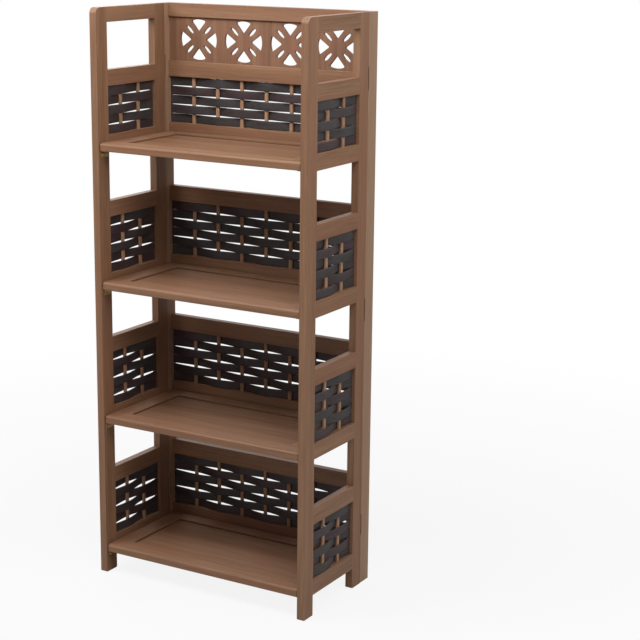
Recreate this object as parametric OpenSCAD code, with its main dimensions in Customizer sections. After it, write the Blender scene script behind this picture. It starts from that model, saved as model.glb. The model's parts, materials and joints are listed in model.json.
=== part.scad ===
// Folding shelf unit: a tall back frame, two side frames hinged to its front corners,
// and four frame-and-panel shelves that tip up into the recess between the back posts.
// It stands on z = 0. x runs across the front, y from the front to the back, and the
// origin is under the middle of the unit. Shelves and woven bands are numbered from the top.

/* [Frame] */
// Width over the two sides
unit_w = 604; // [520:1:720]
// Depth of a side frame, front edge to back edge
side_d = 277; // [240:1:300]
// Thickness of the side frames
board_t = 19; // [16:0.5:24]
// Width of the side stiles
stile_w = 42; // [34:1:55]
// Height of the rails above and below each woven band
rail_h = 39.5; // [30:0.5:50]
// Height of the top rail of each side
side_top_rail_h = 36; // [28:0.5:50]
// Clear height of the open window under each side's top rail
top_window_h = 112.5; // [90:0.5:150]
// Height of the feet, floor to the lowest side rail
foot_h = 51.5; // [35:0.5:80]
// Height from one shelf to the next
shelf_pitch = 341.5; // [320:0.5:380]
// Radius of the front top corner of each side
corner_r = 15; // [5:1:25]
// Radius of the corners at the feet
foot_r = 3; // [1:0.5:6]

/* [Back] */
// Depth of the back posts
post_d = 41; // [38:0.5:60]
// Thickness of the back posts, flush with the sides' outer faces
post_t = 15; // [14:0.5:18]
// Thickness of the back rails
back_rail_t = 19; // [14:0.5:20]
// How much higher the back rails sit than the side rails
back_lift = 5; // [0:0.5:8]
// Height of the back's top rail
back_top_rail_h = 34; // [26:0.5:45]
// Thickness of the fretwork panel
fret_t = 7; // [5:0.5:8]
// Depth that the fretwork panel sits in its grooves
fret_tongue = 5; // [3:0.5:7]
// Half the height of each pierced flower
flower_r = 50; // [35:1:52]
// How much wider than high each pierced flower is
flower_stretch = 1.09; // [1:0.01:1.12]
// Number of pierced flowers
flowers = 4; // [3:1:4]
// Distance from one flower to the next
flower_pitch = 133; // [105:1:135]

/* [Shelves] */
// Thickness of a shelf
shelf_t = 20; // [16:0.5:20]
// Width of the rails round a shelf's panel
shelf_rail_w = 46; // [36:1:60]
// Thickness of a shelf's panel
panel_t = 9; // [7:0.5:10]
// Depth of the panel's face below the top of its frame
panel_drop = 4; // [2:0.5:5]
// Depth of the panel's tongue in the frame's groove
panel_tongue = 7; // [4:0.5:9]
// Thickness of the panel's tongue
tongue_t = 5.5; // [4:0.5:6]
// Width of the sunk channel between the panel's face and its frame
channel_w = 2.5; // [0.5:0.5:4]
// Gap between a shelf's end and the side frame
shelf_end_gap = 3; // [3:0.25:5]
// Distance of a shelf's front edge behind the sides' front edges
shelf_setback = 3; // [0:0.5:10]
// Height of a shelf's underside above the bottom of the side rail beside it
shelf_lift = 3.5; // [0:0.5:8]
// Radius of the shelf's front top edge
nosing_r = 7; // [3:0.5:10]
// Clearance round the folded shelf in the recess, front and back
recess_gap = 1; // [0.5:0.1:2]

/* [Weave] */
// Height of one woven row, with its gap
row_pitch = 23.3; // [20:0.1:23.5]
// Rows in the top band
top_rows = 5; // [4:1:5]
// Rows in each of the other bands
band_rows = 6; // [4:1:6]
// Gap between two rows
row_gap = 1.8; // [0.4:0.1:2]
// Thickness of a woven row
row_t = 3; // [2.5:0.5:4.5]
// Width of an upright slat
slat_w = 9; // [6:0.5:12]
// Thickness of an upright slat
slat_t = 6; // [3:0.5:6]
// Distance from one slat to the next
slat_pitch = 72; // [62:1:74]
// Depth that a slat sits in the rails above and below it
slat_tongue = 6; // [3:0.5:9]
// Clearance between a row and the slat that it passes
weave_clear = 0.6; // [0.3:0.1:0.8]

/* [Hardware] */
// Height of a side hinge
hinge_h = 54; // [40:1:70]
// Thickness of a hinge leaf
leaf_t = 1.5; // [0.9:0.1:1.6]
// Radius of a hinge knuckle
knuckle_r = 2.4; // [2:0.1:2.6]
// Radius of a hinge pin
hinge_pin_r = 1.2; // [0.9:0.05:1.3]
// Height of the top hinge's middle
hinge_top_z = 1266; // [1240:1:1290]
// Height of the middle hinge's middle
hinge_mid_z = 708; // [680:1:730]
// Height of the bottom hinge's middle
hinge_low_z = 157; // [130:1:180]
// Radius of a shelf's pivot pin
pivot_r = 3; // [2.5:0.25:4]
// Depth of the pivot pin in the post
pivot_in_post = 11; // [8:0.5:12]
// Depth of the pivot pin in the shelf
pivot_in_shelf = 20; // [12:1:30]
// Length of a shelf rest, front to back
rest_len = 30; // [20:1:34]
// Height of a shelf rest
rest_h = 16; // [12:0.5:20]
// Reach of a shelf rest under the shelf
rest_reach = 13; // [9:0.5:16]
// Thickness of a shelf rest
rest_t = 1.5; // [1:0.1:2]
// Radius of the wooden dowels in the frame joints
dowel_r = 4; // [3:0.5:5]
// Depth of a dowel in each of the two pieces it joins, in a side
dowel_in = 13; // [9:0.5:14]
// Depth of a dowel in each of the two pieces it joins, in the back
back_dowel_in = 11; // [8:0.5:12]

/* [Hidden] */

// Colours
wood = [0.50, 0.37, 0.28];
wood_dark = [0.44, 0.31, 0.23];
slat_wood = [0.68, 0.54, 0.42];
rush = [0.20, 0.18, 0.18];
brass = [0.78, 0.62, 0.36];
bronze = [0.22, 0.18, 0.15];

// Fits
wood_fit = 0.2;      // between a tongue and its groove
dowel_fit = 0.1;     // round a dowel
dowel_end_fit = 0.5; // past a dowel's end
joint_gap = 0.4;     // between a side's back edge and the post
leaf_gap = 1.2;      // between a hinge's two closed leaves
knuckle_gap = 0.4;   // between a hinge's knuckles
pin_fit = 0.08;      // round a turning pin
press_fit = 0.03;    // round a pin that stays put
pocket_fit = 0.5;    // round a hinge's knuckles
small = 0.1;         // overlap of a cut past a face

// Counts
levels = 4;
hinge_zs = [hinge_top_z, hinge_mid_z, hinge_low_z];
knuckles = 3;
segments_per_bay = 6;
round_fn = 32;

// Places
inner_x = unit_w / 2 - board_t;
post_x = unit_w / 2 - post_t;
unit_d = side_d + post_d;
front_y = -unit_d / 2;
joint_y = front_y + side_d;
back_rail_y = front_y + unit_d - back_rail_t;
unit_h = foot_h + (levels - 1) * shelf_pitch + 2 * rail_h + top_rows * row_pitch
    + top_window_h + side_top_rail_h;

function level_z(k) = foot_h + (levels - k) * shelf_pitch;
function rows_of(k) = k == 1 ? top_rows : band_rows;
function band_z(k) = level_z(k) + rail_h;
function band_h(k) = rows_of(k) * row_pitch;
function band_top(k) = band_z(k) + band_h(k);
function slat_u(width, count, i) = width / 2 + (i - (count - 1) / 2) * slat_pitch;

side_slats = 2;
back_slats_count = 7;
back_w = 2 * post_x;
side_open = side_d - 2 * stile_w;

// Points along an arc, for the corners of flat outlines
function arc(cx, cy, r, a0, a1, n = 6) =
    [for (i = [0 : n]) [cx + r * cos(a0 + (a1 - a0) * i / n), cy + r * sin(a0 + (a1 - a0) * i / n)]];

// A flat frame is drawn with u along it, w through its thickness and z up.
// A side's u runs from front to back and its w from the inner face outwards.
module left_place() {
    translate([-inner_x, front_y, 0])
        rotate([0, 0, 90])
            children();
}

module right_place() {
    mirror([1, 0, 0])
        left_place()
            children();
}

module back_place() {
    translate([-post_x, back_rail_y, back_lift])
        children();
}

// Woven bands

row_wave = slat_t / 2 + row_t / 2 + weave_clear;
row_seat = 0.2;

// How far a row stands from the middle of the frame at u. turn is 1 or -1 at the first slat.
function wave(u, width, count, turn) =
    let (
        first = slat_u(width, count, 0),
        last = slat_u(width, count, count - 1),
        last_turn = count % 2 == 0 ? -turn : turn
    )
    u <= first ? turn * row_wave * sin(90 * u / first)
    : u >= last ? last_turn * row_wave * sin(90 * (width - u) / (width - last))
    : turn * row_wave * cos(180 * (u - first) / slat_pitch);

// Places along a row at which its outline has a point
function stations(width, count) =
    let (
        first = slat_u(width, count, 0),
        last = slat_u(width, count, count - 1),
        half = segments_per_bay / 2 + 1
    )
    concat(
        [for (i = [0 : half - 1]) joint_gap + (first - joint_gap) * i / half],
        [for (i = [0 : (count - 1) * segments_per_bay]) first + slat_pitch * i / segments_per_bay],
        [for (i = [1 : half]) last + (width - joint_gap - last) * i / half]
    );

module woven_row(width, count, turn) {
    us = stations(width, count);
    front = [for (u = us) [u, wave(u, width, count, turn) - row_t / 2]];
    back = [for (i = [len(us) - 1 : -1 : 0]) [us[i], wave(us[i], width, count, turn) + row_t / 2]];
    linear_extrude(row_pitch - row_gap)
        polygon(concat(front, back));
}

// The rows of one band, counted from the bottom. Each row passes the slats on the other side
// from the row below it. start is the turn of the bottom row at the first slat.
module woven_band(width, count, thickness, k, start) {
    for (r = [0 : rows_of(k) - 1])
        translate([0, thickness / 2, band_z(k) + r * row_pitch + row_seat])
            woven_row(width, count, r % 2 == 0 ? start : -start);
}

module band_slats(width, count, thickness, fit = 0) {
    for (k = [1 : levels])
        for (i = [0 : count - 1])
            translate([slat_u(width, count, i) - slat_w / 2 - fit,
                       thickness / 2 - slat_t / 2 - fit,
                       band_z(k) - slat_tongue - fit])
                cube([slat_w + 2 * fit, slat_t + 2 * fit, band_h(k) + 2 * (slat_tongue + fit)]);
}

// Frame joints

// The two dowels at one end of a rail of height h, about u = at
module dowel_pair(at, depth, thickness, z, h, fit = 0, end_fit = 0) {
    for (side = [-1, 1])
        translate([at - depth - end_fit, thickness / 2, z + h / 2 + side * h / 4])
            rotate([0, 90, 0])
                cylinder(r = dowel_r + fit, h = 2 * (depth + end_fit), $fn = round_fn);
}

// All the dowels of a frame whose rails run from u = from to u = to. spare is the
// height that a panel's groove takes from the edge of a rail.
module frame_dowels(from, to, depth, thickness, top_z, top_h, spare, fit, end_fit) {
    for (at = [from, to]) {
        dowel_pair(at, depth, thickness, top_z + spare, top_h - spare, fit, end_fit);
        for (k = [1 : levels]) {
            dowel_pair(at, depth, thickness, level_z(k), rail_h, fit, end_fit);
            dowel_pair(at, depth, thickness, band_top(k), rail_h - spare, fit, end_fit);
        }
    }
}

module side_dowel_set(fit = 0, end_fit = 0) {
    frame_dowels(stile_w, side_d - stile_w, dowel_in, board_t, unit_h - side_top_rail_h,
                 side_top_rail_h, 0, fit, end_fit);
}

module back_dowel_set(fit = 0, end_fit = 0) {
    frame_dowels(0, back_w, back_dowel_in, back_rail_t, back_top_z,
                 back_top_rail_h, fret_tongue, fit, end_fit);
}

// Side frames

// Outline of a stile in u and z, with its own radius at the front top corner
function stile_outline(w, top_r) = concat(
    arc(foot_r, foot_r, foot_r, 180, 270),
    arc(w - foot_r, foot_r, foot_r, 270, 360),
    [[w, unit_h]],
    top_r > 0 ? arc(top_r, unit_h - top_r, top_r, 90, 180, 10) : [[0, unit_h]]
);

module stile_blank(w, top_r) {
    translate([0, board_t, 0])
        rotate([90, 0, 0])
            linear_extrude(board_t)
                polygon(stile_outline(w, top_r));
}

module side_front_stile() {
    difference() {
        stile_blank(stile_w, corner_r);
        side_dowel_set(dowel_fit, dowel_end_fit);
        rest_screw_set(pilot = true);
    }
}

module side_rear_stile() {
    difference() {
        translate([side_d - stile_w, 0, 0])
            stile_blank(stile_w - joint_gap / 2, 0);
        side_dowel_set(dowel_fit, dowel_end_fit);
        side_hinge_pockets();
        hinge_screw_set(pilot = true);
    }
}

module side_rail(z, h) {
    translate([stile_w, 0, z])
        cube([side_open, board_t, h]);
}

module side_rail_cuts() {
    side_dowel_set(dowel_fit, dowel_end_fit);
    band_slats_at_side(wood_fit);
}

module band_slats_at_side(fit = 0) {
    translate([stile_w, 0, 0])
        band_slats(side_open, side_slats, board_t, fit);
}

module side_top_rail() {
    difference() {
        side_rail(unit_h - side_top_rail_h, side_top_rail_h);
        side_rail_cuts();
    }
}

module side_weave_top_rails() {
    difference() {
        for (k = [1 : levels])
            side_rail(band_top(k), rail_h);
        side_rail_cuts();
    }
}

module side_shelf_rails() {
    difference() {
        for (k = [1 : levels])
            side_rail(level_z(k), rail_h);
        side_rail_cuts();
    }
}

module side_weave(k, start) {
    translate([stile_w, 0, 0])
        woven_band(side_open, side_slats, board_t, k, start);
}

// Shelf rests: brass angles on the front stiles, under the shelves' front corners

rest_u = shelf_setback + 5;
rest_screw_r = 1.6;
rest_head_r = 3;
rest_screw_len = 12;
rest_head_h = 1.4;
rest_seat = 0.2;

function shelf_z(k) = level_z(k) + shelf_lift;

module shelf_rest() {
    translate([rest_u, -rest_t, -rest_h])
        cube([rest_len, rest_t, rest_h]);
    translate([rest_u, -rest_reach, -rest_t])
        cube([rest_len, rest_reach, rest_t]);
}

module rest_set() {
    difference() {
        for (k = [1 : levels])
            translate([0, -rest_seat, shelf_z(k) - rest_seat])
                shelf_rest();
        rest_screw_set(pilot = true);
    }
}

module rest_screw(fit) {
    head_at = rest_seat + rest_t + dowel_fit;
    rotate([90, 0, 0]) {
        translate([0, 0, -rest_screw_len - fit])
            cylinder(r = rest_screw_r + fit, h = rest_screw_len + head_at + small, $fn = round_fn);
        if (fit == 0)
            translate([0, 0, head_at])
                cylinder(r1 = rest_head_r, r2 = rest_head_r - 1, h = rest_head_h, $fn = round_fn);
    }
}

module rest_screw_set(pilot = false) {
    for (k = [1 : levels])
        for (part = [0.25, 0.75])
            translate([rest_u + part * rest_len, 0, shelf_z(k) - 0.6 * rest_h])
                rest_screw(pilot ? dowel_fit : 0);
}

// Side hinges: closed butt hinges let into the joint between a side and its post

leaf_end_gap = 1.5;
leaf_reach = board_t - leaf_end_gap;
hinge_screw_r = 1.4;
hinge_head_r = 2.6;
hinge_screw_len = 14;
hinge_screw_w = board_t * 0.55;
hinge_screw_rise = hinge_h / 3;

// Everything about a hinge is drawn round its pin, with w outwards and u to the back
module at_hinges() {
    for (z = hinge_zs)
        translate([side_d, 0, z])
            children();
}

module knuckle_span(i, grow = 0) {
    step = hinge_h / knuckles;
    translate([0, 0, -hinge_h / 2 + i * step + (grow > 0 ? -grow : knuckle_gap / 2)])
        cylinder(r = knuckle_r + grow, h = step + (grow > 0 ? 2 * grow : -knuckle_gap),
                 $fn = round_fn);
}

// One leaf. back is 1 for the post's leaf and -1 for the side's.
module hinge_leaf(back) {
    own = back > 0 ? [1] : [0, 2];
    other = back > 0 ? [0, 2] : [1];
    start = back > 0 ? leaf_gap / 2 : -leaf_gap / 2 - leaf_t;
    difference() {
        union() {
            translate([start, 0, -hinge_h / 2])
                cube([leaf_t, leaf_reach, hinge_h]);
            for (i = own)
                knuckle_span(i);
        }
        for (i = other)
            knuckle_span(i, knuckle_gap / 2);
        translate([0, 0, -hinge_h / 2 - small])
            cylinder(r = hinge_pin_r + pin_fit, h = hinge_h + 2 * small, $fn = round_fn);
        leaf_screws(back, dowel_fit);
    }
}

module hinge_screw(back, fit) {
    face = leaf_gap / 2;
    rotate([0, 90 * back, 0]) {
        translate([0, 0, face])
            cylinder(r1 = hinge_head_r + fit, r2 = hinge_screw_r + fit, h = leaf_t, $fn = round_fn);
        translate([0, 0, face])
            cylinder(r = hinge_screw_r + fit, h = hinge_screw_len + fit, $fn = round_fn);
    }
}

module leaf_screws(back, fit = 0) {
    for (i = [-1 : 1])
        translate([0, hinge_screw_w, i * hinge_screw_rise])
            hinge_screw(back, fit);
}

module hinge_screw_set(pilot = false) {
    at_hinges()
        for (back = [-1, 1])
            leaf_screws(back, pilot ? dowel_fit : 0);
}

// Room for the closed hinge in the two pieces of wood: the leaves' mortise and the knuckles' groove
module side_hinge_pockets() {
    at_hinges() {
        translate([-leaf_gap / 2 - leaf_t - small, -small, -hinge_h / 2 - wood_fit])
            cube([leaf_gap + 2 * (leaf_t + small), board_t + 2 * small, hinge_h + 2 * wood_fit]);
        translate([0, 0, -hinge_h / 2 - pocket_fit])
            cylinder(r = knuckle_r + pocket_fit, h = hinge_h + 2 * pocket_fit, $fn = round_fn);
    }
}

module hinge_leaves(back) {
    at_hinges()
        hinge_leaf(back);
}

module hinge_pins() {
    at_hinges()
        translate([0, 0, -hinge_h / 2])
            cylinder(r = hinge_pin_r, h = hinge_h, $fn = round_fn);
}

// Shelves

shelf_half = inner_x - shelf_end_gap;
shelf_front_y = front_y + shelf_setback;
axis_y = joint_y + recess_gap + shelf_t / 2;
shelf_back_y = axis_y + shelf_t / 2;
shelf_d = shelf_back_y - shelf_front_y;
function axis_z(k) = shelf_z(k) + shelf_t / 2;

// Outline of the front and back rails in y and z, drawn from the shelf's front edge and underside
arris_r = 2;
function front_rail_outline() = concat(
    arc(arris_r, arris_r, arris_r, 180, 270, 4),
    [[shelf_rail_w, 0], [shelf_rail_w, shelf_t]],
    arc(nosing_r, shelf_t - nosing_r, nosing_r, 90, 180, 8)
);
function back_rail_outline() = concat(
    [[shelf_d - shelf_rail_w, 0]],
    arc(shelf_d - shelf_t / 2, shelf_t / 2, shelf_t / 2, -90, 90, 16),
    [[shelf_d - shelf_rail_w, shelf_t]]
);

module along_x(half) {
    translate([-half, 0, 0])
        rotate([90, 0, 90])
            linear_extrude(2 * half)
                children();
}

// Groove for the panel and for the end rails' tongues
module shelf_groove() {
    low = shelf_rail_w - panel_tongue - wood_fit;
    translate([-shelf_half + low, low, panel_z - wood_fit])
        cube([2 * (shelf_half - low), shelf_d - 2 * low, tongue_t + 2 * wood_fit]);
}

panel_z = shelf_t - panel_drop - panel_t;

module shelf_place(k) {
    translate([0, shelf_front_y, shelf_z(k)])
        children();
}

module pivot_bores(fit, depth) {
    for (side = [-1, 1])
        translate([side * shelf_half, axis_y - shelf_front_y, shelf_t / 2])
            rotate([0, -90 * side, 0])
                cylinder(r = pivot_r + fit, h = depth, $fn = round_fn);
}

module shelf_long_rails(k) {
    shelf_place(k)
        difference() {
            union() {
                along_x(shelf_half)
                    polygon(front_rail_outline());
                along_x(shelf_half)
                    polygon(back_rail_outline());
            }
            long_groove();
            pivot_bores(press_fit, pivot_in_shelf + dowel_end_fit);
        }
}

// The long rails' groove runs behind the end rails' tongues as well
module long_groove() {
    low = shelf_rail_w - panel_tongue - wood_fit;
    tongue_x = shelf_half - shelf_rail_w / 2;
    translate([-tongue_x, low, panel_z - wood_fit])
        cube([2 * tongue_x, shelf_d - 2 * low, tongue_t + 2 * wood_fit]);
}

module shelf_end_rails(k) {
    tongue_len = shelf_d - 2 * (shelf_rail_w - panel_tongue);
    tongue_w = shelf_rail_w / 2 - wood_fit;
    shelf_place(k)
        for (side = [0, 1])
            mirror([side, 0, 0])
                difference() {
                    union() {
                        translate([shelf_half - shelf_rail_w, shelf_rail_w, 0])
                            cube([shelf_rail_w, shelf_d - 2 * shelf_rail_w, shelf_t]);
                        translate([shelf_half - shelf_rail_w, shelf_rail_w - panel_tongue, panel_z])
                            cube([tongue_w, tongue_len, tongue_t]);
                    }
                    shelf_groove();
                }
}

// The panel's tongue is thinner than its field, and a channel runs round the field
module shelf_panel(k) {
    shelf_place(k)
        for (layer = [[shelf_rail_w - panel_tongue + wood_fit, tongue_t],
                      [shelf_rail_w + channel_w, panel_t]])
            translate([-shelf_half + layer[0], layer[0], panel_z])
                cube([2 * (shelf_half - layer[0]), shelf_d - 2 * layer[0], layer[1]]);
}

module shelf_pivot_pins(k) {
    for (side = [-1, 1])
        translate([side * (shelf_half - pivot_in_shelf), axis_y, axis_z(k)])
            rotate([0, 90 * side, 0])
                cylinder(r = pivot_r, h = pivot_in_shelf + post_x - shelf_half + pivot_in_post,
                         $fn = round_fn);
}

// Back frame

module post_pivot_bores() {
    for (k = [1 : levels])
        translate([-post_x + small, axis_y, axis_z(k)])
            rotate([0, -90, 0])
                cylinder(r = pivot_r + pin_fit, h = pivot_in_post + dowel_end_fit + small,
                         $fn = round_fn);
}

module post() {
    difference() {
        translate([-post_x - post_t, joint_y + joint_gap / 2, 0])
            cube([post_t, post_d - joint_gap / 2, unit_h]);
        back_place()
            back_dowel_set(dowel_fit, dowel_end_fit);
        back_place()
            fret_blank(wood_fit);
        post_pivot_bores();
        left_place()
            side_hinge_pockets();
        left_place()
            hinge_screw_set(pilot = true);
    }
}

module back_rail(z, h) {
    translate([0, 0, z])
        cube([back_w, back_rail_t, h]);
}

module back_rail_cuts() {
    back_dowel_set(dowel_fit, dowel_end_fit);
    band_slats(back_w, back_slats_count, back_rail_t, wood_fit);
    fret_blank(wood_fit);
}

back_top_z = unit_h - back_lift - back_top_rail_h;

module back_top_rail() {
    back_place()
        difference() {
            back_rail(back_top_z, back_top_rail_h);
            back_rail_cuts();
        }
}

module back_weave_top_rails() {
    back_place()
        difference() {
            for (k = [1 : levels])
                back_rail(band_top(k), rail_h);
            back_rail_cuts();
        }
}

module back_shelf_rails() {
    back_place()
        difference() {
            for (k = [1 : levels])
                back_rail(level_z(k), rail_h);
            back_rail_cuts();
        }
}

// Fretwork panel: a thin board in grooves, pierced with round flowers

fret_low = band_top(1) + rail_h;
petals = 4;
petal_half_angle = 23;
petal_apex = 0.42 * flower_r;
petal_tip_r = 2.5;
slot_in = 0.48 * flower_r;
slot_mid = 0.68 * flower_r;
slot_out = 0.86 * flower_r;
slot_r_in = 3.2;
slot_r_mid = 4.6;
slot_r_out = 3.4;

module fret_blank(fit = 0) {
    translate([-fret_tongue - fit, back_rail_t / 2 - fret_t / 2 - fit, fret_low - fret_tongue - fit])
        cube([back_w + 2 * (fret_tongue + fit), fret_t + 2 * fit,
              back_top_z - fret_low + 2 * (fret_tongue + fit)]);
}

// A point at an angle and a distance from the flower's middle
function polar(r, a) = [r * cos(a), r * sin(a)];

// A fan-shaped petal that opens outwards from a blunt point, with a curved outer edge
function petal() = concat(
    [[petal_apex, -petal_tip_r / 2], [petal_apex, petal_tip_r / 2]],
    [polar(flower_r - petal_tip_r, petal_half_angle)],
    arc(0, 0, flower_r, petal_half_angle - 2, -petal_half_angle + 2, 8),
    [polar(flower_r - petal_tip_r, -petal_half_angle)]
);

// A long rounded slot between two petals, widest just past its middle
function slot() = concat(
    arc(slot_in, 0, slot_r_in, 100, 260, 6),
    arc(slot_mid, 0, slot_r_mid, 262, 278, 2),
    arc(slot_out, 0, slot_r_out, -80, 80, 6),
    arc(slot_mid, 0, slot_r_mid, 82, 98, 2)
);

// Four petals and four slots, drawn out a little across the board
module flower() {
    scale([flower_stretch, 1])
        for (i = [0 : petals - 1]) {
            rotate(i * 360 / petals)
                polygon(petal());
            rotate((i + 0.5) * 360 / petals)
                polygon(slot());
        }
}

module fret_panel() {
    back_place()
        difference() {
            fret_blank();
            translate([0, back_rail_t, (fret_low + back_top_z) / 2])
                rotate([90, 0, 0])
                    linear_extrude(back_rail_t)
                        for (i = [0 : flowers - 1])
                            translate([back_w / 2 + (i - (flowers - 1) / 2) * flower_pitch, 0])
                                flower();
        }
}

// One module for each node, with its colour

module left_front_stile() { color(wood) left_place() side_front_stile(); }
module left_rear_stile() { color(wood) left_place() side_rear_stile(); }
module left_top_rail() { color(wood) left_place() side_top_rail(); }
module left_weave_top_rails() { color(wood_dark) left_place() side_weave_top_rails(); }
module left_shelf_rails() { color(wood_dark) left_place() side_shelf_rails(); }
module left_slats() { color(slat_wood) left_place() band_slats_at_side(); }
module left_weave(k) { color(rush) left_place() side_weave(k, -1); }
module left_dowels() { color(slat_wood) left_place() side_dowel_set(); }
module left_shelf_rests() { color(brass) left_place() rest_set(); }

module right_front_stile() { color(wood) right_place() side_front_stile(); }
module right_rear_stile() { color(wood) right_place() side_rear_stile(); }
module right_top_rail() { color(wood) right_place() side_top_rail(); }
module right_weave_top_rails() { color(wood_dark) right_place() side_weave_top_rails(); }
module right_shelf_rails() { color(wood_dark) right_place() side_shelf_rails(); }
module right_slats() { color(slat_wood) right_place() band_slats_at_side(); }
module right_weave(k) { color(rush) right_place() side_weave(k, 1); }
module right_dowels() { color(slat_wood) right_place() side_dowel_set(); }
module right_shelf_rests() { color(brass) right_place() rest_set(); }

module shelf_rest_screws() {
    color(brass) {
        left_place() rest_screw_set();
        right_place() rest_screw_set();
    }
}

module left_post() { color(wood) post(); }
module right_post() { color(wood) mirror([1, 0, 0]) post(); }
module back_slats() {
    color(slat_wood)
        back_place()
            band_slats(back_w, back_slats_count, back_rail_t);
}
module back_weave(k) {
    color(rush)
        back_place()
            woven_band(back_w, back_slats_count, back_rail_t, k, 1);
}
module back_dowels() { color(slat_wood) back_place() back_dowel_set(); }

module left_hinge_post_leaves() { color(bronze) left_place() hinge_leaves(1); }
module left_hinge_side_leaves() { color(bronze) left_place() hinge_leaves(-1); }
module left_hinge_pins() { color(bronze) left_place() hinge_pins(); }
module right_hinge_post_leaves() { color(bronze) right_place() hinge_leaves(1); }
module right_hinge_side_leaves() { color(bronze) right_place() hinge_leaves(-1); }
module right_hinge_pins() { color(bronze) right_place() hinge_pins(); }

module side_hinge_screws() {
    color(bronze) {
        left_place() hinge_screw_set();
        right_place() hinge_screw_set();
    }
}

left_front_stile();
left_rear_stile();
left_top_rail();
left_weave_top_rails();
left_shelf_rails();
left_slats();
left_weave(1);  // left_weave_1
left_weave(2);  // left_weave_2
left_weave(3);  // left_weave_3
left_weave(4);  // left_weave_4
left_dowels();
left_shelf_rests();
right_front_stile();
right_rear_stile();
right_top_rail();
right_weave_top_rails();
right_shelf_rails();
right_slats();
right_weave(1);  // right_weave_1
right_weave(2);  // right_weave_2
right_weave(3);  // right_weave_3
right_weave(4);  // right_weave_4
right_dowels();
right_shelf_rests();
shelf_rest_screws();
left_post();
right_post();
color(wood) back_top_rail();
color(wood_dark) back_weave_top_rails();
color(wood_dark) back_shelf_rails();
color(wood) fret_panel();
back_slats();
back_weave(1);  // back_weave_1
back_weave(2);  // back_weave_2
back_weave(3);  // back_weave_3
back_weave(4);  // back_weave_4
back_dowels();
left_hinge_post_leaves();
left_hinge_side_leaves();
left_hinge_pins();
right_hinge_post_leaves();
right_hinge_side_leaves();
right_hinge_pins();
side_hinge_screws();
color(wood) shelf_long_rails(1);  // shelf_1_long_rails
color(wood) shelf_end_rails(1);  // shelf_1_end_rails
color(wood_dark) shelf_panel(1);  // shelf_1_panel
color(brass) shelf_pivot_pins(1);  // shelf_1_pivot_pins
color(wood) shelf_long_rails(2);  // shelf_2_long_rails
color(wood) shelf_end_rails(2);  // shelf_2_end_rails
color(wood_dark) shelf_panel(2);  // shelf_2_panel
color(brass) shelf_pivot_pins(2);  // shelf_2_pivot_pins
color(wood) shelf_long_rails(3);  // shelf_3_long_rails
color(wood) shelf_end_rails(3);  // shelf_3_end_rails
color(wood_dark) shelf_panel(3);  // shelf_3_panel
color(brass) shelf_pivot_pins(3);  // shelf_3_pivot_pins
color(wood) shelf_long_rails(4);  // shelf_4_long_rails
color(wood) shelf_end_rails(4);  // shelf_4_end_rails
color(wood_dark) shelf_panel(4);  // shelf_4_panel
color(brass) shelf_pivot_pins(4);  // shelf_4_pivot_pins
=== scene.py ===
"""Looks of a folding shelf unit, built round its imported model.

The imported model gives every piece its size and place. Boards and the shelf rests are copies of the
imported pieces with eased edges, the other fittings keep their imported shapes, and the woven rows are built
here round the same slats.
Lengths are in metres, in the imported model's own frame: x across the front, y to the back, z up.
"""

from __future__ import annotations

import json
import logging
import math
import random
from collections.abc import Iterable
from dataclasses import dataclass, field, replace
from enum import Enum

import bmesh
import bpy
from mathutils import Matrix, Vector

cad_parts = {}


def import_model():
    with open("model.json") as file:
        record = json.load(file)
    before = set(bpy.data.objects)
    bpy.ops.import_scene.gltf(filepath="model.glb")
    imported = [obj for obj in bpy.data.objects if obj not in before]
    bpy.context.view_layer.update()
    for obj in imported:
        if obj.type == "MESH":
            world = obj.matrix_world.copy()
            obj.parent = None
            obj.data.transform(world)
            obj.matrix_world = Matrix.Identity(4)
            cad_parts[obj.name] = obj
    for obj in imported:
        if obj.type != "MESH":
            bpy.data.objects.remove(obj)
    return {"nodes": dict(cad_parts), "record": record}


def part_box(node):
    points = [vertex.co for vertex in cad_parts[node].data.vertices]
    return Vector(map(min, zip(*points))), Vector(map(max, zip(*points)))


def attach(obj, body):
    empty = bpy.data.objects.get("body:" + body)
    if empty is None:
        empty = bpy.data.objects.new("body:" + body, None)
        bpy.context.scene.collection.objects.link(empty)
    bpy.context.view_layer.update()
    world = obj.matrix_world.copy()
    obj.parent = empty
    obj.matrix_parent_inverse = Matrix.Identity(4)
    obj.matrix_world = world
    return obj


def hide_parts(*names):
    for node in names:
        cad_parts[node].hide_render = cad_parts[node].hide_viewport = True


log = logging.getLogger("folding_shelf")

MM = 0.001
SHELVES = 4
BOARD_ATTRIBUTE = "board"
MERGE_DISTANCE = 0.002 * MM
PLANE_TOLERANCE = 0.01 * MM
FLAT_ANGLE = math.radians(0.5)
EASED_ANGLE = math.radians(35)
SHARP_ANGLE = math.radians(50)
STRAIGHT = 0.9999

Colour = tuple[int, int, int]


def linear(colour: Colour) -> tuple[float, float, float, float]:
    """Turns a colour of 0 to 255 into the linear values that sockets take.

    Args:
        colour: red, green and blue as a screen shows them.

    Returns:
        Linear red, green, blue and an alpha of 1.
    """

    def channel(value: int) -> float:
        """Gives one channel's linear value.

        Args:
            value: the channel as a screen shows it, 0 to 255.

        Returns:
            Its linear value, 0 to 1.
        """
        v = value / 255
        return v / 12.92 if v <= 0.04045 else ((v + 0.055) / 1.055) ** 2.4

    return (channel(colour[0]), channel(colour[1]), channel(colour[2]), 1.0)


class Axis(Enum):
    """A direction of the frame, used for grain and for the run of a woven row."""

    X = 0
    Y = 1
    Z = 2

    def stretched(self, along: float, across: float) -> Vector:
        """Gives texture scales that differ along this axis and across it.

        Args:
            along: scale in this axis's direction.
            across: scale in the other two directions.

        Returns:
            One scale for each of x, y and z.
        """
        scale = Vector((across, across, across))
        scale[self.value] = along
        return scale


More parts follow.
